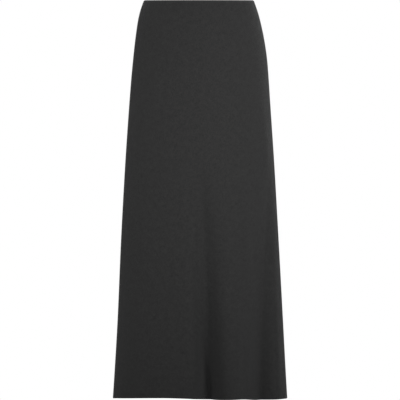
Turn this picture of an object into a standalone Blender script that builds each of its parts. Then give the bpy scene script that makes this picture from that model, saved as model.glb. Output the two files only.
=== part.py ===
"""A pull-on knit midi skirt, filled out as if worn and hanging from its waist.

Metres, +Z up, the front faces -Y and +X is to the right as seen from the front.
The origin is the centre of the waist opening, level with its edge at the side seams.
Each panel is one sheet of knit cloth: its top edge turns in over the elastic as a casing,
and its lower edge turns up inside as the hem.
"""

import math

import bpy
import numpy as np

# Cloth and sewing.
CLOTH = 0.0016
LAYER_GAP = 0.0003
SEAM_GAP = 0.0003
ELASTIC_THICKNESS = 0.0012
ELASTIC_WIDTH = 0.030
CASING_DEPTH = 0.038
HEM_DEPTH = 0.030

# The worn shape. Drop is the distance below the waist edge, measured down a side seam.
SKIRT_LENGTH = 0.8980
WAIST_TILT = 0.05  # the waist edge is this much lower in front for each metre of depth
ROUND_SECTION = 2.0  # superellipse exponent of the waist, an ellipse
SQUARE_SECTION = 2.35  # and of the hem, whose front and back hang flatter

# Half widths seen from the front, and depths to the front and the back, from the outer face.
OUTLINE_COLUMNS = ("drop", "left", "right", "front", "back")
OUTLINE = (
    (0.000, 0.1261, 0.1213, 0.0880, 0.0900),
    (0.0115, 0.1305, 0.1255, 0.0900, 0.0925),
    (0.0275, 0.1356, 0.1309, 0.0930, 0.0975),
    (0.0455, 0.1397, 0.1359, 0.0965, 0.1035),
    (0.0905, 0.1461, 0.1455, 0.1030, 0.1175),
    (0.1355, 0.1510, 0.1519, 0.1070, 0.1275),
    (0.1815, 0.1553, 0.1555, 0.1090, 0.1330),
    (0.2265, 0.1588, 0.1584, 0.1100, 0.1350),
    (0.2935, 0.1636, 0.1629, 0.1110, 0.1355),
    (0.3615, 0.1681, 0.1674, 0.1125, 0.1355),
    (0.5415, 0.1780, 0.1777, 0.1180, 0.1370),
    (0.7225, 0.1858, 0.1875, 0.1250, 0.1400),
    (0.8355, 0.1924, 0.1935, 0.1295, 0.1425),
    (0.8980, 0.1964, 0.1971, 0.1320, 0.1440),
)

# How far the hem hangs below the waist edge, from the left seam (0) to the right seam (1).
HEM_COLUMNS = ("across", "front", "back")
HEM_LINE = (
    (0.00, 0.8981, 0.8981),
    (0.10, 0.8948, 0.8954),
    (0.30, 0.8910, 0.8932),
    (0.36, 0.8918, 0.8937),
    (0.44, 0.8941, 0.8945),
    (0.52, 0.8964, 0.8952),
    (0.62, 0.8947, 0.8936),
    (0.68, 0.8937, 0.8928),
    (0.80, 0.8980, 0.8944),
    (0.90, 0.8967, 0.8959),
    (1.00, 0.8979, 0.8979),
)

# Soft vertical folds. Each runs from where it starts to the hem, and x is its place seen from
# the front. Rise is how far it stands out at the hem, or in if it is negative; left and right
# are its widths there on each side. A growth above 1 makes a fold deepen faster near the hem.
FOLD_COLUMNS = ("start", "x_start", "x_hem", "rise", "left", "right", "growth")
FRONT_FOLDS = (
    (0.330, 0.000, 0.0225, -0.0500, 0.0210, 0.0190, 1.7),
    (0.300, 0.078, 0.0760, 0.0170, 0.0340, 0.0300, 1.1),
    (0.420, 0.090, 0.0930, -0.0030, 0.0140, 0.0140, 1.2),
    (0.340, 0.152, 0.1590, -0.0360, 0.0460, 0.0130, 1.2),
    (0.420, -0.040, -0.0460, -0.0010, 0.0300, 0.0300, 1.2),
    (0.420, -0.105, -0.1080, 0.0015, 0.0350, 0.0350, 1.2),
)
BACK_FOLDS = (
    (0.280, -0.120, -0.142, -0.0110, 0.0190, 0.0160, 1.2),
    (0.260, -0.072, -0.086, 0.0150, 0.0340, 0.0310, 1.2),
    (0.320, -0.022, -0.028, -0.0180, 0.0150, 0.0180, 1.1),
    (0.300, 0.030, 0.036, 0.0120, 0.0360, 0.0330, 1.2),
    (0.340, 0.078, 0.094, -0.0160, 0.0170, 0.0140, 1.1),
    (0.380, 0.112, 0.136, 0.0070, 0.0260, 0.0260, 1.2),
)
FOLD_TOP_SPREAD = 1.5  # a fold is this much wider where it starts

HEM_RADIUS = CLOTH + LAYER_GAP / 2
POCKET = ELASTIC_THICKNESS + 2 * LAYER_GAP
WAIST_RADIUS = CLOTH + POCKET / 2

# How finely the solids are faceted. The rows are drops, the same for every layer.
PANEL_COLUMNS = 52
FOLD_COLUMN_SHARE = 0.45  # the share of the columns that crowd where the hem turns, at its folds
FOLD_FACETS = 4
FINE_POINTS = 721
BAND_DROPS = (0.010, 0.020, WAIST_RADIUS + ELASTIC_WIDTH)
WALL_DROPS = (
    CASING_DEPTH, 0.053, 0.073, 0.100, 0.140, 0.190, 0.255,
    0.335, 0.420, 0.510, 0.600, 0.690, 0.765, 0.825,
)
HEM_DROPS = (SKIRT_LENGTH - HEM_DEPTH, 0.880)

CLOTH_COLOUR = (0.032, 0.032, 0.032, 1.0)
ELASTIC_COLOUR = (0.012, 0.012, 0.013, 1.0)


def smooth_column(table, columns, name, at):
    """A table's column read at any place, on a smooth curve through its rows that never overshoots."""
    rows = np.array(table)
    x = rows[:, 0]
    y = rows[:, columns.index(name)]
    chord = np.diff(y) / np.diff(x)
    slope = np.zeros(len(x))
    same_way = chord[:-1] * chord[1:] > 0
    slope[1:-1][same_way] = (2 * chord[:-1] * chord[1:] / (chord[:-1] + chord[1:]))[same_way]
    slope[0] = chord[0]
    slope[-1] = chord[-1]
    at = np.clip(np.asarray(at, float), x[0], x[-1])
    row = np.clip(np.searchsorted(x, at, side="right") - 1, 0, len(x) - 2)
    step = x[row + 1] - x[row]
    t = (at - x[row]) / step
    start = (1 + 2 * t) * (1 - t) ** 2 * y[row] + t * (1 - t) ** 2 * step * slope[row]
    end = t * t * (3 - 2 * t) * y[row + 1] - t * t * (1 - t) * step * slope[row + 1]
    return start + end


def outline(name, drop):
    return float(smooth_column(OUTLINE, OUTLINE_COLUMNS, name, drop))


def lengths_along(points):
    steps = np.linalg.norm(np.diff(points, axis=0), axis=1)
    return np.concatenate([[0.0], np.cumsum(steps)])


def outward_normals(points, outward):
    """Unit normals of a curve that runs left to right, on the side that outward (-1 or 1) gives in Y."""
    along = np.gradient(points, axis=0)
    normals = np.column_stack([-along[:, 1], along[:, 0]]) * outward
    return normals / np.linalg.norm(normals, axis=1)[:, None]


def folded(base, normals, drop, folds):
    """The base curve with each fold pushed out or in, as a bell curve along its length."""
    length = lengths_along(base)
    push = np.zeros(len(base))
    for start, x_start, x_hem, rise, left, right, growth in folds:
        grown = np.clip((drop - start) / (SKIRT_LENGTH - start), 0.0, 1.0)
        if grown <= 0.0:
            continue
        centre = np.interp(x_start + (x_hem - x_start) * grown, base[:, 0], length)
        widening = FOLD_TOP_SPREAD + (1 - FOLD_TOP_SPREAD) * grown
        width = np.where(length < centre, left, right) * widening
        push += rise * grown**growth * np.exp(-(((length - centre) / width) ** 2))
    return base + normals * push[:, None]


def section(drop, side, fractions):
    """Points and outward normals across one panel at one drop, left seam to right seam."""
    outward = -1.0 if side == "front" else 1.0
    power = ROUND_SECTION + (SQUARE_SECTION - ROUND_SECTION) * min(drop / SKIRT_LENGTH, 1.0)
    angle = np.linspace(0.0, math.pi, FINE_POINTS)
    across = -np.sign(np.cos(angle)) * np.abs(np.cos(angle)) ** (2 / power)
    half_width = np.where(across < 0, outline("left", drop), outline("right", drop))
    depth = outline(side, drop) * np.abs(np.sin(angle)) ** (2 / power)
    base = np.column_stack([half_width * across, outward * depth])
    folds = FRONT_FOLDS if side == "front" else BACK_FOLDS
    curve = folded(base, outward_normals(base, outward), drop, folds)
    length = lengths_along(curve)
    at = fractions * length[-1]
    points = np.column_stack([np.interp(at, length, curve[:, k]) for k in range(2)])
    normals = outward_normals(curve, outward)
    chosen = np.column_stack([np.interp(at, length, normals[:, k]) for k in range(2)])
    chosen[[0, -1]] = (-1.0, 0.0), (1.0, 0.0)
    return points, chosen / np.linalg.norm(chosen, axis=1)[:, None]


def columns_across(side):
    """Where a panel's columns stand, seam (0) to seam (1): evenly, and closer at the hem's folds."""
    even = np.linspace(0.0, 1.0, FINE_POINTS)
    normals = section(SKIRT_LENGTH, side, even)[1]
    facing = np.unwrap(np.arctan2(normals[:, 1], normals[:, 0]))
    turning = np.concatenate([[0.0], np.cumsum(np.abs(np.diff(facing)))])
    weight = (1 - FOLD_COLUMN_SHARE) * even + FOLD_COLUMN_SHARE * turning / turning[-1]
    return np.interp(np.linspace(0.0, 1.0, PANEL_COLUMNS + 1), weight, even)


def placed(drop, inset, side, fractions):
    """A row of points across a panel, inset from its outer face, in the skirt's own frame."""
    points, normals = section(drop, side, fractions)
    points = points - normals * inset
    hem = smooth_column(HEM_LINE, HEM_COLUMNS, side, fractions)
    top = WAIST_TILT * points[:, 1]
    height = top - (hem + top) * drop / SKIRT_LENGTH
    return np.column_stack([points, height])


def sheet_path():
    """The sheet from the casing's edge, over the waist, down the wall and under the hem.

    Each step gives (drop, inset) for the cloth's right side and for its wrong side.
    """
    casing_face = 2 * CLOTH + POCKET
    closed_face = 2 * CLOTH + LAYER_GAP
    path = [((CASING_DEPTH, closed_face), (CASING_DEPTH, closed_face - CLOTH))]
    path += [((drop, casing_face), (drop, casing_face - CLOTH)) for drop in BAND_DROPS[::-1]]
    for i in range(FOLD_FACETS + 1):
        turn = math.pi * i / FOLD_FACETS
        right = WAIST_RADIUS
        wrong = WAIST_RADIUS - CLOTH
        path.append((
            (WAIST_RADIUS - right * math.sin(turn), WAIST_RADIUS + right * math.cos(turn)),
            (WAIST_RADIUS - wrong * math.sin(turn), WAIST_RADIUS + wrong * math.cos(turn)),
        ))
    path += [((drop, 0.0), (drop, CLOTH)) for drop in BAND_DROPS + WALL_DROPS + HEM_DROPS]
    for i in range(FOLD_FACETS + 1):
        turn = math.pi * i / FOLD_FACETS
        low = SKIRT_LENGTH - HEM_RADIUS
        right = HEM_RADIUS
        wrong = HEM_RADIUS - CLOTH
        path.append((
            (low + right * math.sin(turn), HEM_RADIUS - right * math.cos(turn)),
            (low + wrong * math.sin(turn), HEM_RADIUS - wrong * math.cos(turn)),
        ))
    path += [((drop, closed_face), (drop, closed_face - CLOTH)) for drop in HEM_DROPS[::-1]]
    return path


def mesh_object(name, points, faces, material):
    mesh = bpy.data.meshes.new(name)
    mesh.from_pydata([tuple(p) for p in points], [], faces)
    mesh.materials.append(material)
    mesh.shade_smooth()
    mesh.set_sharp_from_angle(angle=math.radians(40))
    made = bpy.data.objects.new(name, mesh)
    bpy.context.scene.collection.objects.link(made)
    return made


def panel(name, side, material):
    """One panel: the sheet's right and wrong sides as two grids, closed at its four edges."""
    fractions = columns_across(side)
    path = sheet_path()
    across = len(fractions)
    seam_y = (-1.0 if side == "front" else 1.0) * SEAM_GAP / 2
    rows = []
    for right, wrong in path:
        for drop, inset in (right, wrong):
            row = placed(drop, inset, side, fractions)
            row[[0, -1], 1] = seam_y
            rows.append(row)
    points = np.concatenate(rows)

    def at(step, cloth_side, column):
        return (2 * step + cloth_side) * across + column

    faces = []
    last = len(path) - 1
    for step in range(last):
        for column in range(across - 1):
            for cloth_side in (0, 1):
                quad = [
                    at(step, cloth_side, column), at(step + 1, cloth_side, column),
                    at(step + 1, cloth_side, column + 1), at(step, cloth_side, column + 1),
                ]
                faces.append(quad if cloth_side == 0 else quad[::-1])
        for column, turned in ((0, False), (across - 1, True)):
            quad = [
                at(step, 0, column), at(step, 1, column),
                at(step + 1, 1, column), at(step + 1, 0, column),
            ]
            faces.append(quad[::-1] if turned else quad)
    for step, turned in ((0, False), (last, True)):
        for column in range(across - 1):
            quad = [
                at(step, 0, column), at(step, 0, column + 1),
                at(step, 1, column + 1), at(step, 1, column),
            ]
            faces.append(quad[::-1] if turned else quad)
    if side == "back":
        faces = [face[::-1] for face in faces]
    return mesh_object(name, points, faces, material)


def elastic(name, material):
    """A flat elastic band, closed into a ring, that runs in the casing of both panels."""
    drops = (WAIST_RADIUS,) + BAND_DROPS
    near = CLOTH + LAYER_GAP
    far = near + ELASTIC_THICKNESS
    outline_steps = [(drop, near) for drop in drops] + [(drop, far) for drop in drops[::-1]]
    rings = []
    for drop, inset in outline_steps:
        front = placed(drop, inset, "front", columns_across("front"))
        back = placed(drop, inset, "back", columns_across("back"))
        rings.append(np.concatenate([front[:-1], back[:0:-1]]))
    points = np.concatenate(rings)
    around = len(rings[0])
    faces = []
    for step in range(len(rings)):
        below = (step + 1) % len(rings)
        for column in range(around):
            after = (column + 1) % around
            faces.append([
                step * around + column, below * around + column,
                below * around + after, step * around + after,
            ])
    return mesh_object(name, points, faces, material)


def cloth_material(name, colour, roughness):
    material = bpy.data.materials.new(name)
    material.use_nodes = True
    shader = material.node_tree.nodes["Principled BSDF"]
    shader.inputs["Base Color"].default_value = colour
    shader.inputs["Roughness"].default_value = roughness
    shader.inputs["Metallic"].default_value = 0.0
    return material


def clear_scene():
    for old in list(bpy.data.objects):
        bpy.data.objects.remove(old, do_unlink=True)


def build():
    clear_scene()
    knit = cloth_material("charcoal_knit", CLOTH_COLOUR, 0.9)
    band = cloth_material("black_elastic", ELASTIC_COLOUR, 0.8)
    panel("front_panel", "front", knit)
    panel("back_panel", "back", knit)
    elastic("waist_elastic", band)


build()
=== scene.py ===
# %% [markdown]
# # A knit midi skirt
# This lesson dresses a plain model of a pull-on skirt so that it looks like real charcoal jersey.
# The plain model holds the sizes and the places. It is loaded first and never changed.
# The skirt hangs as if somebody wore it, so each panel is a curved sheet, open at the waist and the hem.

import math

import bmesh
import bpy
import numpy as np
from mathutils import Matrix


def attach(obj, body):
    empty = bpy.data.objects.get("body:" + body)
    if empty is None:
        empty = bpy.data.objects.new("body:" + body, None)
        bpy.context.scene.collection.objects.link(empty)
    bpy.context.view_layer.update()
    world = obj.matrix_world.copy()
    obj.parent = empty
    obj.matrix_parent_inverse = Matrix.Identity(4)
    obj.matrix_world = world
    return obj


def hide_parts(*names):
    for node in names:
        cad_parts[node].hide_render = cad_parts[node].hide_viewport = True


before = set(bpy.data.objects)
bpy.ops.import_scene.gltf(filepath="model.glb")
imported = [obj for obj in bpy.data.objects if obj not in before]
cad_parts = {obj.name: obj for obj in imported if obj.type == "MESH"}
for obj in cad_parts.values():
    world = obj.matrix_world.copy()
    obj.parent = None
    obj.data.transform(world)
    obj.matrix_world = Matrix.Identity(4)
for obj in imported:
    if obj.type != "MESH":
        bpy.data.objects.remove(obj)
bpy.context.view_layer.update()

# %% [markdown]
# ## The sizes of the cloth
# A skirt like this is cut as two panels, a front and a back, and sewn at the sides.
# The top edge of each panel turns in over an elastic band, which makes a casing.
# The lower edge turns up inside, which makes the hem. Everything here is in metres.

# %% Sizes of the cloth and its turnings
CLOTH = 0.0016
LAYER_GAP = 0.0003
SEAM_Y = 0.0  # both panels end here, so that no light passes between them
ELASTIC_THICKNESS = 0.0012
HEM_RADIUS = CLOTH + LAYER_GAP / 2
POCKET = ELASTIC_THICKNESS + 2 * LAYER_GAP
WAIST_RADIUS = CLOTH + POCKET / 2
SKIRT_LENGTH = 0.8980
WAIST_TILT = 0.05
ROUND_SECTION = 2.0
SQUARE_SECTION = 2.35
print("wall", CLOTH * 1000, "mm, length", SKIRT_LENGTH * 1000, "mm")

# %% [markdown]
# ## The shape of the skirt
# Three short tables hold the shape. The first gives the outline at a few drops below the waist.
# The second gives how far the hem hangs, from the left seam to the right seam.
# The third gives the soft folds that a flared knit makes where it hangs freely.

# %% Tables of the outline, the hem and the folds
OUTLINE_COLUMNS = ("drop", "left", "right", "front", "back")
OUTLINE = (
    (0.000, 0.1261, 0.1213, 0.0880, 0.0900),
    (0.0115, 0.1305, 0.1255, 0.0900, 0.0925),
    (0.0275, 0.1356, 0.1309, 0.0930, 0.0975),
    (0.0455, 0.1397, 0.1359, 0.0965, 0.1035),
    (0.0905, 0.1461, 0.1455, 0.1030, 0.1175),
    (0.1355, 0.1510, 0.1519, 0.1070, 0.1275),
    (0.1815, 0.1553, 0.1555, 0.1090, 0.1330),
    (0.2265, 0.1588, 0.1584, 0.1100, 0.1350),
    (0.2935, 0.1636, 0.1629, 0.1110, 0.1355),
    (0.3615, 0.1681, 0.1674, 0.1125, 0.1355),
    (0.5415, 0.1780, 0.1777, 0.1180, 0.1370),
    (0.7225, 0.1858, 0.1875, 0.1250, 0.1400),
    (0.8355, 0.1924, 0.1935, 0.1295, 0.1425),
    (0.8980, 0.1964, 0.1971, 0.1320, 0.1440),
)
HEM_COLUMNS = ("across", "front", "back")
HEM_LINE = (
    (0.00, 0.8981, 0.8981),
    (0.10, 0.8948, 0.8954),
    (0.30, 0.8910, 0.8932),
    (0.36, 0.8918, 0.8937),
    (0.44, 0.8941, 0.8945),
    (0.52, 0.8964, 0.8952),
    (0.62, 0.8947, 0.8936),
    (0.68, 0.8937, 0.8928),
    (0.80, 0.8980, 0.8944),
    (0.90, 0.8967, 0.8959),
    (1.00, 0.8979, 0.8979),
)
# each fold: start, x_start, x_hem, rise, left, right, growth
FRONT_FOLDS = (
    (0.330, 0.000, 0.0225, -0.0500, 0.0210, 0.0190, 1.7),
    (0.300, 0.078, 0.0760, 0.0170, 0.0340, 0.0300, 1.1),
    (0.420, 0.090, 0.0930, -0.0030, 0.0140, 0.0140, 1.2),
    (0.340, 0.152, 0.1590, -0.0360, 0.0460, 0.0130, 1.2),
    (0.420, -0.040, -0.0460, -0.0010, 0.0300, 0.0300, 1.2),
    (0.420, -0.105, -0.1080, 0.0015, 0.0350, 0.0350, 1.2),
)
BACK_FOLDS = (
    (0.280, -0.120, -0.142, -0.0110, 0.0190, 0.0160, 1.2),
    (0.260, -0.072, -0.086, 0.0150, 0.0340, 0.0310, 1.2),
    (0.320, -0.022, -0.028, -0.0180, 0.0150, 0.0180, 1.1),
    (0.300, 0.030, 0.036, 0.0120, 0.0360, 0.0330, 1.2),
    (0.340, 0.078, 0.094, -0.0160, 0.0170, 0.0140, 1.1),
    (0.380, 0.112, 0.136, 0.0070, 0.0260, 0.0260, 1.2),
)
FOLDS = {"front": FRONT_FOLDS, "back": BACK_FOLDS}
FOLD_TOP_SPREAD = 1.5  # how much wider a fold is where it starts than at the hem
print(len(OUTLINE), "outline rows,", sum(map(len, FOLDS.values())), "folds")

# %% [markdown]
# ## Small creases
# Cloth that hangs is never quite smooth. Most of these troughs and ridges are about a millimetre deep, and
# they run down the cloth. The last three of the front sharpen its main fold, and are up to 8 mm deep at the
# hem. All are listed one by one, no two alike, on the back as well as on the front, because a repeated or
# random pattern would look like a machine's work.

# %% Table of the small creases
# each crease: across, drop, rise, width, length, lean
CREASES = {
    "front": (
        (0.87, 0.300, 0.0016, 0.015, 0.085, 0.04),
        (0.55, 0.190, 0.0007, 0.022, 0.070, -0.05),
        (0.30, 0.400, -0.0006, 0.018, 0.110, 0.03),
        (0.46, 0.330, -0.0010, 0.016, 0.090, 0.06),
        (0.16, 0.620, -0.0009, 0.020, 0.130, -0.04),
        (0.28, 0.760, 0.0008, 0.024, 0.100, 0.02),
        (0.72, 0.560, 0.0007, 0.014, 0.090, 0.07),
        (0.91, 0.660, -0.0008, 0.013, 0.120, 0.03),
        (0.66, 0.075, -0.0004, 0.013, 0.030, 0.20),
        (0.520, 0.500, -0.0040, 0.0120, 0.070, 0.030),
        (0.532, 0.700, -0.0012, 0.0055, 0.160, 0.025),
        (0.549, 0.900, -0.0080, 0.0120, 0.060, 0.027),
    ),
    "back": (
        (0.14, 0.280, 0.0012, 0.017, 0.080, -0.04),
        (0.42, 0.230, -0.0007, 0.020, 0.075, 0.05),
        (0.64, 0.350, 0.0009, 0.019, 0.100, -0.03),
        (0.83, 0.520, -0.0010, 0.016, 0.120, 0.05),
        (0.26, 0.600, 0.0007, 0.022, 0.110, 0.03),
        (0.52, 0.700, -0.0008, 0.015, 0.090, -0.06),
        (0.73, 0.110, 0.0004, 0.015, 0.035, -0.15),
    ),
}
print(sum(map(len, CREASES.values())), "small creases")

# %% [markdown]
# ## Reading a table smoothly
# Straight lines between table rows would show as kinks in the cloth.
# This reader joins the rows with cubic curves whose slopes are the harmonic mean of the slopes on both
# sides, so that the curve never overshoots a row.

# %% A smooth reader for the tables
def smooth_column(table, columns, name, at):
    """Cubic Hermite curve through one column: y = h00 y0 + h10 s m0 + h01 y1 + h11 s m1 on each step s."""
    rows = np.array(table)
    x = rows[:, 0]
    y = rows[:, columns.index(name)]
    chord = np.diff(y) / np.diff(x)
    slope = np.zeros(len(x))
    same_way = chord[:-1] * chord[1:] > 0
    slope[1:-1][same_way] = (2 * chord[:-1] * chord[1:] / (chord[:-1] + chord[1:]))[same_way]
    slope[0] = chord[0]
    slope[-1] = chord[-1]
    at = np.clip(np.asarray(at, float), x[0], x[-1])
    row = np.clip(np.searchsorted(x, at, side="right") - 1, 0, len(x) - 2)
    step = x[row + 1] - x[row]
    t = (at - x[row]) / step
    start = (1 + 2 * t) * (1 - t) ** 2 * y[row] + t * (1 - t) ** 2 * step * slope[row]
    end = t * t * (3 - 2 * t) * y[row + 1] - t * t * (1 - t) * step * slope[row + 1]
    return start + end


print("half width at the hips", smooth_column(OUTLINE, OUTLINE_COLUMNS, "left", 0.225).round(4))

# %% [markdown]
# ## The surface as a function of two parameters
# One parameter runs across a panel, from the left seam (0) to the right seam (1).
# The other is the drop below the waist. Each row is half of a superellipse, which is an ellipse at the
# waist and a little squarer at the hem, as cloth that hangs free of the body is.
# The folds then push each row in or out along its own normal.

# %% Normals and lengths of rows
def outward_normals(rows, outward):
    """Unit normals in the level plane: the tangent turned by a quarter turn, (-dy, dx)."""
    along = np.gradient(rows, axis=1)
    normals = np.stack([-along[..., 1], along[..., 0]], axis=-1) * outward
    return normals / np.linalg.norm(normals, axis=-1, keepdims=True)


def lengths_along(rows):
    """The running length of each row: the sum of its steps from the left seam."""
    steps = np.linalg.norm(np.diff(rows, axis=1), axis=-1)
    return np.concatenate([np.zeros((len(rows), 1)), np.cumsum(steps, axis=1)], axis=1)


straight = np.array([[[0.0, 0.0], [1.0, 0.0], [2.0, 0.0]]])
print("a straight row is", lengths_along(straight)[0, -1], "long")
print("and faces", outward_normals(straight, -1.0)[0, 1])

# %% How far the folds and creases push a row
def fold_push(base, drops, side):
    """Sum of the folds, each rise * grown**growth * exp(-(distance / width)**2), and of the creases."""
    length = lengths_along(base)
    push = np.zeros(length.shape)
    for start, x_start, x_hem, rise, left, right, growth in FOLDS[side]:
        grown = np.clip((drops - start) / (SKIRT_LENGTH - start), 0.0, 1.0)
        centre_x = x_start + (x_hem - x_start) * grown
        centre = np.array([np.interp(c, b[:, 0], s) for c, b, s in zip(centre_x, base, length)])
        widening = FOLD_TOP_SPREAD + (1 - FOLD_TOP_SPREAD) * grown
        away = length - centre[:, None]
        distance = away / (np.where(away < 0, left, right) * widening[:, None])
        push += (rise * grown**growth)[:, None] * np.exp(-(distance**2))
    for across, drop, rise, width, span, lean in CREASES[side]:
        below = drops[:, None] - drop
        beside = length - across * length[:, -1:] - lean * below
        push += rise * np.exp(-((beside / width) ** 2) - (below / span) ** 2)
    return push


print("deepest fold", min(fold[3] for fold in FRONT_FOLDS + BACK_FOLDS), "m")

# %% Whole rows across a panel
FINE_POINTS = 1441


def section_rows(drops, side, fractions):
    """Points, normals and running lengths of whole rows, each x = a |cos|^(2/p), y = b |sin|^(2/p)."""
    drops = np.asarray(drops, float)
    outward = -1.0 if side == "front" else 1.0
    power = ROUND_SECTION + (SQUARE_SECTION - ROUND_SECTION) * np.clip(drops / SKIRT_LENGTH, 0, 1)
    power = power[:, None]
    angle = np.linspace(0.0, math.pi, FINE_POINTS)[None, :]
    across = -np.sign(np.cos(angle)) * np.abs(np.cos(angle)) ** (2 / power)
    left, right, depth = (
        smooth_column(OUTLINE, OUTLINE_COLUMNS, name, drops)[:, None] for name in ("left", "right", side)
    )
    x = np.where(across < 0, left, right) * across
    y = outward * depth * np.abs(np.sin(angle)) ** (2 / power)
    base = np.stack([x, y], axis=-1)
    rows = base + outward_normals(base, outward) * fold_push(base, drops, side)[..., None]
    normals = outward_normals(rows, outward)
    length = lengths_along(rows)
    at = fractions * length[:, -1:]

    def pick(values):
        return np.stack([np.interp(a, s, v) for a, s, v in zip(at, length, values)])

    points = np.stack([pick(rows[..., k]) for k in range(2)], axis=-1)
    facing = np.stack([pick(normals[..., k]) for k in range(2)], axis=-1)
    facing /= np.linalg.norm(facing, axis=-1, keepdims=True)
    return points, facing, at - length[:, -1:] / 2


sample = section_rows([0.0, 0.225, SKIRT_LENGTH], "front", np.linspace(0, 1, 5))[2]
print("front widths, laid flat:", np.round(sample[:, -1] * 2, 3))

# %% [markdown]
# ## The path of the sheet
# A panel's cloth is one sheet. Its path starts inside at the casing's edge, goes up behind the elastic,
# turns over at the waist, comes down the outside, turns under at the hem and goes up again inside.
# Each step of the path has a place for the right side of the cloth and one for the wrong side.

# %% The path from the casing to the hem
CASING_DEPTH = 0.038
HEM_DEPTH = 0.030
ELASTIC_END = 0.0326
WAIST_ROLL = 0.006  # the straight steps start this far below the waist edge
HEM_ROLL = 0.003  # and end this far above the hem's turn
HIGH_WALL = (0.100, 0.105)  # steps are closer together above this drop, where the hips curve
STEP_COUNTS = {"casing": 12, "turn": 9, "high": 22, "low": 150, "hem": 8}


def turn_steps(count, centre_drop, centre_inset, radius, first_angle):
    """Half a circle of steps: drop = c + r sin, inset = c - r cos, for both sides of the cloth."""
    angle = first_angle + np.linspace(0.0, math.pi, count)
    right = np.stack([centre_drop + radius * np.sin(angle), centre_inset - radius * np.cos(angle)], axis=-1)
    inner = radius - CLOTH
    wrong = np.stack([centre_drop + inner * np.sin(angle), centre_inset - inner * np.cos(angle)], axis=-1)
    return np.stack([right, wrong], axis=1)


def straight_steps(drops, right_inset, wrong_inset):
    """Steps at a constant depth behind the outer face."""
    drops = np.asarray(drops, float)
    right = np.stack([drops, np.broadcast_to(right_inset, drops.shape)], axis=-1)
    wrong = np.stack([drops, np.broadcast_to(wrong_inset, drops.shape)], axis=-1)
    return np.stack([right, wrong], axis=1)


def sheet_path():
    """The whole path as one array of steps: casing, turn, wall, turn, hem."""
    casing_drops = np.linspace(CASING_DEPTH, WAIST_ROLL, STEP_COUNTS["casing"])
    face = 2 * CLOTH + np.where(casing_drops > ELASTIC_END, LAYER_GAP, POCKET)
    low = SKIRT_LENGTH - HEM_RADIUS
    high_wall = np.linspace(WAIST_ROLL, HIGH_WALL[0], STEP_COUNTS["high"])
    low_wall = np.linspace(HIGH_WALL[1], low - HEM_ROLL, STEP_COUNTS["low"])
    hem_drops = np.linspace(low - HEM_ROLL, SKIRT_LENGTH - HEM_DEPTH, STEP_COUNTS["hem"])
    closed = 2 * CLOTH + LAYER_GAP
    return np.concatenate([
        straight_steps(casing_drops, face, face - CLOTH),
        turn_steps(STEP_COUNTS["turn"], WAIST_RADIUS, WAIST_RADIUS, WAIST_RADIUS, math.pi),
        straight_steps(np.concatenate([high_wall, low_wall]), 0.0, CLOTH),
        turn_steps(STEP_COUNTS["turn"], low, HEM_RADIUS, HEM_RADIUS, 0.0),
        straight_steps(hem_drops, closed, closed - CLOTH),
    ])


path = sheet_path()
print(len(path), "steps along the cloth")

# %% [markdown]
# ## Making a panel
# The two sides of the cloth are two grids with the same rows and columns. Joined at their four edges
# they make one closed shell. Laying the shell out by rows lets numpy work out every vertex at once.

# %% Rows in space, with a groove beside the seams
SEAM_DIP = 0.0008
SEAM_DIP_WIDTH = 0.0013


def place_rows(drops, insets, side, fractions):
    """Points in space: level point - normal * (inset + dip), the dip a bell curve beside each seam."""
    points, facing, flat = section_rows(drops, side, np.atleast_2d(fractions))
    beside = np.abs(flat).max(axis=1, keepdims=True) - np.abs(flat)
    insets = insets + SEAM_DIP * np.exp(-((beside / SEAM_DIP_WIDTH) ** 2))
    points = points - facing * insets[..., None]
    hem = smooth_column(HEM_LINE, HEM_COLUMNS, side, fractions)
    top = WAIST_TILT * points[..., 1]
    height = top - (hem + top) * np.asarray(drops)[:, None] / SKIRT_LENGTH
    return np.concatenate([points, height[..., None]], axis=-1), flat


waist_row = place_rows([0.0], np.zeros((1, 1)), "front", np.linspace(0, 1, 5))[0]
print("front waist edge from", waist_row[0, :, 2].min().round(4), "to", waist_row[0, :, 2].max().round(4))

# %% A mesh from whole arrays
def grid_quads(rows, columns, first=0):
    """Corner numbers of every square of a grid, as one array."""
    r, c = np.meshgrid(np.arange(rows - 1), np.arange(columns - 1), indexing="ij")
    corner = first + r * columns + c
    return np.stack([corner, corner + columns, corner + columns + 1, corner + 1], axis=-1).reshape(-1, 4)


def put_mesh(name, points, quads, materials, material_index=None, uv=None):
    """A mesh object at the origin from whole arrays, with its UV in metres of cloth."""
    mesh = bpy.data.meshes.new(name)
    mesh.from_pydata(points.reshape(-1, 3), [], quads)
    for material in materials:
        mesh.materials.append(material)
    if material_index is not None:
        mesh.polygons.foreach_set("material_index", material_index)
    if uv is not None:
        layer = mesh.uv_layers.new(name="cloth")
        layer.data.foreach_set("uv", uv[quads.ravel()].ravel())
    mesh.polygons.foreach_set("use_smooth", np.ones(len(quads), bool))
    mesh.validate()
    mesh.update()
    made = bpy.data.objects.new(name, mesh)
    bpy.context.scene.collection.objects.link(made)
    return made


print("a grid of 3 by 4 points has", len(grid_quads(3, 4)), "squares")

# %% One panel
NEAR_SEAM = np.array([0.0, 0.0006, 0.0012, 0.002, 0.0032, 0.005])
FIRST_COLUMN = 0.008
PANEL_COLUMNS = 170
PANEL_WIDTH = 0.5  # roughly one panel's width, which turns the distances above into shares of it


def seam_fractions():
    """Columns across a panel, distance / width, with a few close together beside each seam."""
    near = NEAR_SEAM / PANEL_WIDTH
    first = FIRST_COLUMN / PANEL_WIDTH
    return np.concatenate([near, np.linspace(first, 1 - first, PANEL_COLUMNS), 1 - near[::-1]])


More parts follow.
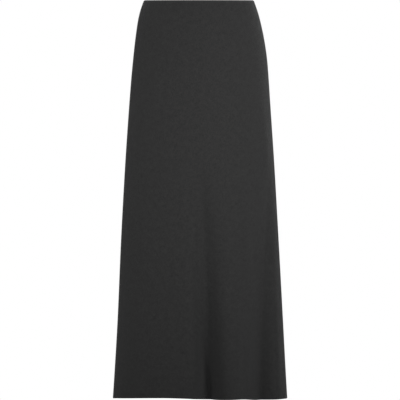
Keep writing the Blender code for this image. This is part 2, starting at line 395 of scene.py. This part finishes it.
def panel(name, side, materials):
    """One panel of cloth from the two grids, closed round its edges."""
    fractions = seam_fractions()
    down = lengths_along(path[None, :, 0])[0]
    grids = []
    uvs = []
    for cloth_side in (0, 1):
        points, flat = place_rows(path[:, cloth_side, 0], path[:, cloth_side, 1:], side, fractions)
        points[:, [0, -1], 1] = SEAM_Y
        grids.append(points)
        uv = np.stack([flat, np.broadcast_to(-down[:, None], flat.shape)], axis=-1)
        uvs.append(uv.reshape(-1, 2))
    rows, columns = flat.shape
    count = rows * columns
    right = grid_quads(rows, columns)
    wrong = grid_quads(rows, columns, count)[:, ::-1]
    index = np.arange(count).reshape(rows, columns)
    edges = []
    for line in (index[::-1, 0], index[:, -1], index[0], index[-1, ::-1]):
        edges.append(np.stack([line[:-1], line[1:], line[1:] + count, line[:-1] + count], axis=-1))
    quads = np.concatenate([right, wrong] + edges)
    if side == "back":
        quads = quads[:, ::-1]
    slots = np.zeros(len(quads), np.int32)
    slots[len(right) : 2 * len(right)] = 1
    made = put_mesh(name, np.stack(grids), quads, materials, slots, np.concatenate(uvs))
    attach(made, "root")
    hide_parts(side + "_panel")
    print(name, len(made.data.polygons) * 2, "triangles")
    return made


print(len(seam_fractions()), "columns across a panel")

# %% [markdown]
# ## Node helpers
# A material in Blender is a tree of nodes. One small function adds any node: it sets the node's fields,
# fills its inputs with numbers, and links an input where it is given another node or one of its sockets.
# Colours are written as sRGB hex, as a designer would note them, and turned to linear light here.

# %% Colour and node helpers
def linear(hex_colour):
    """sRGB hex to linear: c / 12.92 below 0.04045, ((c + 0.055) / 1.055)**2.4 above."""
    values = [int(hex_colour[i : i + 2], 16) / 255 for i in (1, 3, 5)]
    return [v / 12.92 if v <= 0.04045 else ((v + 0.055) / 1.055) ** 2.4 for v in values] + [1.0]


def add(tree, kind, inputs=None, **settings):
    """Adds one node, sets its fields and inputs, and links each input that is given a node or a socket."""
    node = tree.nodes.new(kind)
    for key, value in settings.items():
        setattr(node, key, value)
    for key, value in (inputs or {}).items():
        if isinstance(value, bpy.types.Node):
            value = value.outputs[0]
        if isinstance(value, bpy.types.NodeSocket):
            tree.links.new(value, node.inputs[key])
        else:
            node.inputs[key].default_value = value
    return node


def new_material(name, **shader_values):
    """A material, its tree and its shader, with the shader values that are the same all over."""
    material = bpy.data.materials.new(name)
    material.use_nodes = True
    tree = material.node_tree
    shader = tree.nodes["Principled BSDF"]
    for key, value in shader_values.items():
        shader.inputs[key.replace("_", " ")].default_value = value
    return material, tree, shader


print("charcoal", [round(c, 4) for c in linear("#343434")])

# %% [markdown]
# ## The jersey
# Plain jersey is knitted from one soft yarn. Its right side shows columns of small V-shaped stitches, called
# wales, and its wrong side shows rows of small arcs, called courses. The stitches could be real loops of
# yarn, but a skirt has nearly a million. A height worked out from sines of the cloth's own UV map, which is
# in metres, follows the cloth down every fold. It drives the bump, and it paints shade into the colour: the
# hollows between stitches are painted darker and the tops of the yarn a little paler.

# %% The stitches
WALE = 0.0015  # real fine jersey is nearer 1.1 mm by 0.9 mm, drawn coarser here so that it still shows
COURSE = 0.0012
V_SLANT = 1.6  # courses that the legs of a V rise from its middle to its edge
ARC_RISE = 0.22
YARN_WAVE = (0.32, 0.68)  # how much the yarn dips between stitches, and its middle height


def stitch_height(tree, cloth_uv, face):
    """Legs: sin(turn) * yarn, where turn runs over half a wale. Arcs: yarn alone, bowed by cos(turn)."""
    uv = add(tree, "ShaderNodeSeparateXYZ", {0: cloth_uv})
    wales = add(tree, "ShaderNodeMath", {0: uv.outputs[0], 1: 1 / WALE}, operation="MULTIPLY")
    courses = add(tree, "ShaderNodeMath", {0: uv.outputs[1], 1: 1 / COURSE}, operation="MULTIPLY")
    place = add(tree, "ShaderNodeMath", {0: wales}, operation="FRACT")
    middle = add(tree, "ShaderNodeMath", {0: place, 1: 0.5}, operation="SUBTRACT")
    aside = add(tree, "ShaderNodeMath", {0: middle}, operation="ABSOLUTE")
    turn = add(tree, "ShaderNodeMath", {0: aside, 1: 2 * math.pi}, operation="MULTIPLY")
    bow = add(tree, "ShaderNodeMath", {0: turn}, operation="SINE" if face else "COSINE")
    slant = {0: aside, 1: V_SLANT} if face else {0: bow, 1: ARC_RISE}
    rise = add(tree, "ShaderNodeMath", slant, operation="MULTIPLY")
    phase = add(tree, "ShaderNodeMath", {0: courses, 1: rise}, operation="ADD")
    angle = add(tree, "ShaderNodeMath", {0: phase, 1: 2 * math.pi}, operation="MULTIPLY")
    wave = add(tree, "ShaderNodeMath", {0: angle}, operation="COSINE")
    height = add(
        tree, "ShaderNodeMath", {0: wave, 1: YARN_WAVE[0], 2: YARN_WAVE[1]}, operation="MULTIPLY_ADD"
    )
    if face:
        leg = add(tree, "ShaderNodeMath", {0: bow, 1: 0.0}, operation="MAXIMUM")
        height = add(tree, "ShaderNodeMath", {0: leg, 1: height}, operation="MULTIPLY")
    column = add(tree, "ShaderNodeMath", {0: wales}, operation="FLOOR")
    row = add(tree, "ShaderNodeMath", {0: phase}, operation="FLOOR")
    stitch = add(tree, "ShaderNodeCombineXYZ", {0: column, 1: row})
    return height, stitch


print("wales across the front hem", round(sample[-1, -1] * 2 / WALE))

# %% [markdown]
# ## The yarn
# The yarn is spun from fibres of slightly different greys, which gives the cloth a faint heather. Three
# things make it: a shade of its own for each stitch, short streaks where the yarn runs darker or paler, and
# soft patches of the brushed face. Two close greys are mixed by their sum.

# %% The shade of the yarn
YARN_DARK = "#292929"
YARN_LIGHT = "#3b3b3b"
STREAK = (0.0011, 0.009, 1.0)  # a run of darker or paler yarn is about one wale wide and 9 mm long
MOTTLE = 0.012  # paler and darker patches of the brushed face, in metres
STITCH_SHARE = 0.5
PATCH_SHARE = 0.8


def yarn_colour(tree, cloth_uv, stitch):
    """Mix of two greys by stitch * share + streaks + patches * share, centred on one half."""
    own_shade = add(tree, "ShaderNodeTexWhiteNoise", {"Vector": stitch})
    along_yarn = add(tree, "ShaderNodeMapping", {"Vector": cloth_uv, "Scale": tuple(1 / v for v in STREAK)})
    streaks = add(
        tree, "ShaderNodeTexNoise", {"Vector": along_yarn, "Scale": 1.0, "Detail": 3.0, "Roughness": 0.6}
    )
    patches = add(
        tree, "ShaderNodeTexNoise", {"Vector": cloth_uv, "Scale": 1 / MOTTLE, "Detail": 2.0, "Roughness": 0.8}
    )
    level = add(tree, "ShaderNodeMath", {0: streaks, 1: STITCH_SHARE / 2}, operation="SUBTRACT")
    shade = add(
        tree, "ShaderNodeMath", {0: own_shade, 1: STITCH_SHARE, 2: level}, operation="MULTIPLY_ADD"
    )
    centred = add(tree, "ShaderNodeMath", {0: shade, 1: PATCH_SHARE / 2}, operation="SUBTRACT")
    heather = add(
        tree, "ShaderNodeMath", {0: patches, 1: PATCH_SHARE, 2: centred}, operation="MULTIPLY_ADD"
    )
    greys = {0: heather, 6: linear(YARN_DARK), 7: linear(YARN_LIGHT)}
    return add(tree, "ShaderNodeMix", greys, data_type="RGBA").outputs[2]


print("greys", YARN_DARK, "to", YARN_LIGHT)

# %% [markdown]
# ## The two sides of the cloth
# Knit cloth is matte: its fibre ends stand up as a fuzz that catches the light only at grazing angles. So
# the roughness is high, the gloss is low and a little sheen brightens the rounded sides.

# %% Jersey materials
# painted shade: the colour is scaled by each stitch's height, darker in the hollows between stitches and a
# little paler on the yarn's tops
PAINTED_HOLLOW_SHADE = (0.36, 0.72)  # how much a stitch's height brightens it, and the shade in the hollows
STITCH_DEPTH = 0.0004


def jersey(name, face):
    """The yarn's colour times (height * 0.36 + 0.72), a painted shade that darkens the hollows between
    stitches, with the height as bump.
    """
    material, tree, shader = new_material(
        name, Roughness=0.92, Specular_IOR_Level=0.25, Sheen_Weight=0.08, Sheen_Roughness=0.45
    )
    cloth_uv = add(tree, "ShaderNodeUVMap", uv_map="cloth")
    height, stitch = stitch_height(tree, cloth_uv, face)
    fibres = yarn_colour(tree, cloth_uv, stitch)
    # painted shade: the stitch height darkens the colour in the hollows and lifts it on the tops
    painted_shade = add(
        tree, "ShaderNodeMath", {0: height, 1: PAINTED_HOLLOW_SHADE[0], 2: PAINTED_HOLLOW_SHADE[1]}, operation="MULTIPLY_ADD"
    )
    colour = add(tree, "ShaderNodeVectorMath", {0: fibres, "Scale": painted_shade}, operation="SCALE")
    bump = add(tree, "ShaderNodeBump", {"Height": height, "Distance": STITCH_DEPTH, "Strength": 0.55})
    tree.links.new(colour.outputs[0], shader.inputs["Base Color"])
    tree.links.new(bump.outputs[0], shader.inputs["Normal"])
    return material


jersey_face = jersey("charcoal_jersey_right_side", True)
jersey_back = jersey("charcoal_jersey_wrong_side", False)
print("materials", jersey_face.name, jersey_back.name)

# %% Cut and hang the two panels
front = panel("front_cloth", "front", [jersey_face, jersey_back])
back = panel("back_cloth", "back", [jersey_face, jersey_back])

# %% [markdown]
# ## Side seams
# The panels are sewn together with their right sides facing, so the seam shows outside only as a fine groove.
# Inside, the two cut edges lie together, pressed towards the back. Here each pair is one soft strip: a closed
# profile carried down the seam, with a free edge that lifts a little unevenly.

# %% Seam allowances inside the skirt
ALLOWANCE = 0.008
ALLOWANCE_THICKNESS = 0.0026
ALLOWANCE_END = 0.0008  # left free at the casing and at the hem
ALLOWANCE_GRID = (150, 16)
CUT_WAVE = (0.03, 61)  # the cut edge wanders: share of the width, and radians for each metre
CUT_RIPPLE = (0.02, 143)
EDGE_LIFT = (0.0005, 47)  # the free edge lifts: metres, and radians for each metre
HEM_EDGE = SKIRT_LENGTH - HEM_DEPTH
SEAMS = {"left": 0.0, "right": 1.0}


def panel_widths(drops, side):
    """The length of each row across a panel."""
    return section_rows(drops, side, np.array([[0.0, 1.0]]))[2][:, 1] * 2


def beside_seam(distances, drops, side, seam):
    """Fractions across the panel at set distances from one seam: distance / width, or 1 minus that."""
    share = distances / panel_widths(drops, side)[:, None]
    return share if seam == 0.0 else 1.0 - share


def seam_allowance(name, seam):
    """Rows down the seam times a flat oval: distance = w (1 - cos a) / 2, inset = middle - h sin a / 2."""
    row_count, ring_count = ALLOWANCE_GRID
    drops = np.linspace(CASING_DEPTH + ALLOWANCE_END, HEM_EDGE - ALLOWANCE_END, row_count)[:, None]
    turn = np.linspace(0.0, 2 * math.pi, ring_count, endpoint=False)[None, :]
    wave = CUT_WAVE[0] * np.sin(drops * CUT_WAVE[1] + seam)
    ripple = CUT_RIPPLE[0] * np.sin(drops * CUT_RIPPLE[1])
    distances = LAYER_GAP + ALLOWANCE * (1 + wave + ripple) * (1 - np.cos(turn)) / 2
    lift = EDGE_LIFT[0] * (1 + np.sin(drops * EDGE_LIFT[1] + 2 * seam)) * (distances / ALLOWANCE) ** 2
    flatter = np.sign(np.sin(turn)) * np.sqrt(np.abs(np.sin(turn)))
    insets = CLOTH + LAYER_GAP + ALLOWANCE_THICKNESS / 2 * (1 - flatter) + lift
    points, _ = place_rows(drops[:, 0], insets, "back", beside_seam(distances, drops[:, 0], "back", seam))
    rows, columns = distances.shape
    index = np.arange(rows * columns).reshape(rows, columns)
    after = np.roll(index, -1, axis=1)
    quads = np.stack([index[:-1], index[1:], after[1:], after[:-1]], axis=-1).reshape(-1, 4)
    uv = np.stack([distances, np.broadcast_to(-drops, distances.shape)], axis=-1).reshape(-1, 2)
    made = put_mesh(name, points, quads, [jersey_back], uv=uv)
    close_ends(made)
    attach(made, "root")
    return made


def close_ends(made):
    """Fills the open rings at both ends and turns every face outwards."""
    work = bmesh.new()
    work.from_mesh(made.data)
    bmesh.ops.holes_fill(work, edges=[e for e in work.edges if e.is_boundary], sides=0)
    bmesh.ops.recalc_face_normals(work, faces=work.faces)
    work.to_mesh(made.data)
    work.free()


allowances = [seam_allowance(side + "_seam_allowance", seam) for side, seam in SEAMS.items()]
print("allowances", [len(a.data.polygons) for a in allowances])

# %% [markdown]
# ## Thread
# The cut edges inside are overlocked: one thread runs to and fro over the edge, in slanted stitches, and
# a second runs straight along their inner ends. The hem is caught to the wall with tiny blind stitches, and
# the casing with a tack at each seam, so no stitch shows outside. A thread is about a third of a millimetre
# thick. Each run is one thin tube of four sides along a path, so that hundreds of stitches stay light.

# %% A run of thread as a thin tube
THREAD = 0.00017


def thread_tube(path, first):
    """Four points round each step, p + r (+-a +-b) with a and b square to the path, and their quads."""
    ahead = np.gradient(path, axis=0)
    ahead /= np.linalg.norm(ahead, axis=1, keepdims=True)
    away = path * (1.0, 1.0, 0.0)
    a = away - (away * ahead).sum(axis=1, keepdims=True) * ahead
    a /= np.linalg.norm(a, axis=1, keepdims=True)
    b = np.cross(ahead, a)
    ring = np.stack([path + THREAD * v for v in (a, b, -a, -b)], axis=1)
    index = first + np.arange(len(path) * 4).reshape(-1, 4)
    after = np.roll(index, -1, axis=1)
    quads = np.stack([index[:-1], after[:-1], after[1:], index[1:]], axis=-1).reshape(-1, 4)
    ends = np.stack([index[0, ::-1], index[-1]])
    return ring.reshape(-1, 3), np.concatenate([quads, ends])


def thread_piece(name, paths):
    """One mesh from several runs of thread."""
    points = []
    quads = []
    for path in paths:
        ring, faces = thread_tube(path, sum(map(len, points)))
        points.append(ring)
        quads.append(faces)
    made = put_mesh(name, np.concatenate(points), np.concatenate(quads), [thread])
    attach(made, "root")
    return made


print("thread", 2000 * THREAD, "mm thick")

# %% Overlocking along the level edges
STITCH = 0.0026
BITE = 0.0042
POINTS_A_STITCH = 4
EDGE_MARGIN = 0.002


def zigzag(grid, order):
    """Picks one column of the grid for each row in turn, so that the path steps to and fro."""
    return grid[np.arange(len(grid)), np.resize(order, len(grid))]


def level_fractions(width, margin, step):
    """Points along a level row, as shares of its width: four for each stitch, clear of the seams."""
    return np.linspace(margin / width, 1 - margin / width, POINTS_A_STITCH * int(width / step))


def edge_stitches(side, edge, inset, inwards):
    """Overlocking along a level edge: to and fro between the edge and a line one bite inside the cloth."""
    width = panel_widths([edge], side)[0]
    fractions = level_fractions(width, EDGE_MARGIN, STITCH)
    drops = np.array([edge + inwards * BITE, edge, edge - inwards * THREAD])
    insets = np.array([[inset], [inset], [inset - CLOTH / 2]])
    grid = place_rows(drops, insets, side, fractions)[0].transpose(1, 0, 2)
    return [zigzag(grid, (0, 1, 2, 1)), grid[::2, 0]]


print("overlocking", int(panel_widths([HEM_EDGE], "front")[0] / STITCH), "stitches across the front")

# %% Blind stitches at the hem
BLIND_STEP = 0.007
BLIND_MARGIN = 0.004
BLIND_REACH = 0.0014
FOLDED_FACE = 2 * CLOTH + LAYER_GAP + THREAD


def blind_stitches(side):
    """Small catches from the hem's edge up to the wall: up, along and down again, one to a step."""
    fractions = level_fractions(panel_widths([HEM_EDGE], side)[0], BLIND_MARGIN, BLIND_STEP)
    drops = np.array([HEM_EDGE + BLIND_REACH, HEM_EDGE - BLIND_REACH])
    insets = np.array([[FOLDED_FACE], [CLOTH + THREAD]])
    grid = place_rows(drops, insets, side, fractions)[0].transpose(1, 0, 2)
    return [zigzag(grid, (0, 0, 0, 1))]


print("blind stitches", int(panel_widths([HEM_EDGE], "front")[0] / BLIND_STEP), "across the front")

# %% Stitches beside the seams
OVERLOCK_EDGE = (0.92, 1.06)  # where the thread turns over the free edge, as shares of the allowance
OVERLOCK_LIFT = (0.0006, 0.0008)  # how far the thread stands off the allowance at the bite and at the edge


def seam_stitches(seam):
    """Overlocking down a seam allowance, over its free edge."""
    count = POINTS_A_STITCH * int((HEM_EDGE - CASING_DEPTH) / STITCH)
    drops = np.linspace(CASING_DEPTH + EDGE_MARGIN, HEM_EDGE - EDGE_MARGIN, count)
    top = CLOTH + ALLOWANCE_THICKNESS
    at_bite, at_edge = (top + lift for lift in OVERLOCK_LIFT)
    distances = np.array([[ALLOWANCE - BITE] + [ALLOWANCE * share for share in OVERLOCK_EDGE]])
    insets = np.array([[at_bite, at_edge, at_edge - ALLOWANCE_THICKNESS / 2]])
    grid, _ = place_rows(drops, insets, "back", beside_seam(distances, drops, "back", seam))
    return [zigzag(grid, (0, 1, 2, 1)), grid[::2, 0]]


TACK_DROPS = CASING_DEPTH + np.linspace(-0.003, 0.002, 17)  # from above the casing's edge to below it
TACK_SIDES = np.array([[0.0008, 0.0026]])


def tack(side, seam):
    """A short bar of close stitches that holds the casing down beside a seam."""
    insets = np.where(TACK_DROPS < CASING_DEPTH + LAYER_GAP, FOLDED_FACE, CLOTH + LAYER_GAP)
    fractions = beside_seam(TACK_SIDES, TACK_DROPS, side, seam)
    grid, _ = place_rows(TACK_DROPS, insets[:, None], side, fractions)
    return [zigzag(grid, (0, 1))]


print("points along one seam's overlocking", len(seam_stitches(0.0)[0]))

# %% [markdown]
# ## Thread material
# Sewing thread is polyester spun from short fibres and twisted: matte, and here a little paler than the
# cloth, as sewing thread often looks beside knit. A fine noise stands for the twist.

# %% Sew the skirt
TWIST = 0.0004  # one turn of the twist, in metres


def spun_thread(name):
    """One grey, with a noise of one twist's length as bump."""
    material, tree, shader = new_material(name, Base_Color=linear("#414141"), Roughness=0.75)
    place = add(tree, "ShaderNodeTexCoord").outputs["Object"]
    twist = add(tree, "ShaderNodeTexNoise", {"Vector": place, "Scale": 1 / TWIST})
    bump = add(tree, "ShaderNodeBump", {"Height": twist, "Distance": 0.0001, "Strength": 0.5})
    tree.links.new(bump.outputs[0], shader.inputs["Normal"])
    return material


thread = spun_thread("charcoal_spun_polyester_thread")
pieces_on = {}
for side in ("front", "back"):
    runs = edge_stitches(side, CASING_DEPTH, FOLDED_FACE, -1) + edge_stitches(side, HEM_EDGE, FOLDED_FACE, 1)
    runs += blind_stitches(side)
    for seam in SEAMS.values():
        runs += tack(side, seam)
    pieces_on[side] = [thread_piece(side + "_edge_stitching", runs)]
pieces_on["back"] += allowances + [
    thread_piece("seam_stitching", [run for seam in SEAMS.values() for run in seam_stitches(seam)])
]
for made in sum(pieces_on.values(), []):
    print(made.name, sum(len(face.vertices) - 2 for face in made.data.polygons), "triangles")

# %% [markdown]
# ## The cut of each panel
# A maker needs the flat size of each panel. Here the width of each panel is worked out from the surface
# itself at every step along the sheet, turnings included.

middle = path.mean(axis=1)
for piece, side in ((front, "front"), (back, "back")):
    widths = panel_widths(middle[:, 0], side)

# %% [markdown]
# ## The elastic
# The band is woven elastic: rubber threads covered with yarn, which make fine ribs along its length. It
# stays in its casing, so the plain model's shape is kept and only gets this material.

# %% Elastic band material
RIB = 0.0019635  # from one rib to the next, in metres


def woven_elastic(name):
    """Ribs along the band: a sine of the height, whose node repeats every pi / 10 / scale, as bump."""
    material, tree, shader = new_material(name, Base_Color=linear("#1c1c1d"), Roughness=0.8)
    place = add(tree, "ShaderNodeTexCoord").outputs["Object"]
    ribs = add(tree, "ShaderNodeTexWave", {"Vector": place, "Scale": math.pi / 10 / RIB}, bands_direction="Z")
    bump = add(tree, "ShaderNodeBump", {"Height": ribs.outputs[1], "Distance": 0.0002, "Strength": 0.4})
    tree.links.new(bump.outputs[0], shader.inputs["Normal"])
    return material


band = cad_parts["waist_elastic"]
band.data.materials.clear()
band.data.materials.append(woven_elastic("black_woven_elastic"))
print("band", [m.name for m in band.data.materials])

# %% [markdown]
# ## The camera
# The picture is taken from straight in front, level with the middle of the skirt, and from far away,
# because the waist edge and the hem both look straight. The lens follows from the frame's height.

# %% Camera
FRAME_HEIGHT = 0.9024
DISTANCE = 8.0
SENSOR = 36.0
camera_data = bpy.data.cameras.new("camera")
camera_data.sensor_width = SENSOR
camera_data.lens = SENSOR * DISTANCE / FRAME_HEIGHT
camera_data.clip_end = 60.0
camera = bpy.data.objects.new("camera", camera_data)
camera.location = (0.0002, -DISTANCE, -0.4507)
camera.rotation_euler = (math.pi / 2, 0.0, 0.0)
bpy.context.scene.collection.objects.link(camera)
bpy.context.scene.camera = camera
print("lens", round(camera_data.lens, 1), "mm")

# %% [markdown]
# ## The studio
# A pale floor lies well below the hem. It glows by itself and throws no light on the skirt, so that it looks
# nearly white without lighting the cloth from below. The background is plain white to the camera and gives
# the skirt only a faint even light. Eleven soft lights stand round the skirt, so that no side is lost in the
# dark. They stand above its middle, so it gets a little darker towards its hem, and those in front are
# stronger on the right.

# %% Floor
FLOOR_Z = -1.3
FLOOR_RADIUS = 6.0
FLOOR_GREY = "#e4e4e2"


def disc(name, radius, height, count=128):
    """A flat ring of points, x = r cos, y = r sin, filled as one face."""
    angle = np.linspace(0, 2 * math.pi, count, endpoint=False)
    points = np.stack([radius * np.cos(angle), radius * np.sin(angle), np.full(count, height)], axis=-1)
    mesh = bpy.data.meshes.new(name)
    mesh.from_pydata(points, [], [list(range(count))])
    made = bpy.data.objects.new(name, mesh)
    bpy.context.scene.collection.objects.link(made)
    return made


floor = disc("studio_floor", FLOOR_RADIUS, FLOOR_Z)
glow = {"Emission_Color": linear(FLOOR_GREY), "Emission_Strength": 0.85}
floor_material = new_material("pale_studio_floor", Base_Color=linear(FLOOR_GREY), Roughness=0.9, **glow)[0]
floor.data.materials.append(floor_material)
floor.visible_diffuse = False
floor.visible_glossy = False

# %% White background with a faint even light
AMBIENT = 0.1
WHITE = (1.0, 1.0, 1.0, 1.0)
world = bpy.data.worlds.new("white_studio")
bpy.context.scene.world = world
world.use_nodes = True
sky = world.node_tree
seen = sky.nodes["Background"]
seen.inputs["Color"].default_value = WHITE
seen.inputs["Strength"].default_value = 1.0
soft = add(sky, "ShaderNodeBackground", {"Color": WHITE, "Strength": AMBIENT})
rays = add(sky, "ShaderNodeLightPath")
both = add(sky, "ShaderNodeMixShader", {0: rays.outputs["Is Camera Ray"], 1: soft, 2: seen})
sky.links.new(both.outputs[0], sky.nodes["World Output"].inputs["Surface"])
bpy.context.scene.view_settings.view_transform = "Standard"
bpy.context.scene.view_settings.look = "None"
print("world", len(sky.nodes), "nodes")

# %% Lights
LIGHT_AIM = (0.0, 0.0, -0.3)
# each light: name, place, size, watts
LIGHTS = (
    ("front_near", (0.1, -1.1, -0.25), 0.5, 4.8),
    ("front_left", (-0.72, -1.02, -0.2), 0.5, 3.2),
    ("front_right", (0.88, -0.92, -0.2), 0.5, 5.2),
    ("front_high", (0.1, -0.9, 0.85), 0.5, 1.2),
    ("above", (0.0, 0.02, 1.1), 0.3, 3.0),
    ("side_right_high", (1.0, 0.0, 0.25), 0.5, 1.8),
    ("side_right_low", (1.3, 0.75, -0.1), 0.5, 2.3),
    ("side_left", (-2.0, 0.4, 0.1), 0.8, 9.8),
    ("back_left", (-0.35, 1.5, 0.1), 0.8, 5.0),
    ("back_right", (0.8, 1.3, 0.1), 0.8, 5.0),
    ("back_high", (0.0, 0.9, 0.85), 0.5, 2.5),
)
for name, place, size, watts in LIGHTS:
    light = bpy.data.lights.new(name, "AREA")
    light.shape = "SQUARE"
    light.size = size
    light.energy = watts
    lamp = bpy.data.objects.new(name, light)
    lamp.location = place
    lamp.visible_camera = False
    toward = np.array(LIGHT_AIM) - np.array(place)
    yaw = math.atan2(toward[0], toward[1])
    tilt = math.atan2(math.hypot(toward[0], toward[1]), -toward[2])
    lamp.rotation_euler = (tilt, 0.0, -yaw)
    bpy.context.scene.collection.objects.link(lamp)
print(len(LIGHTS), "lights")
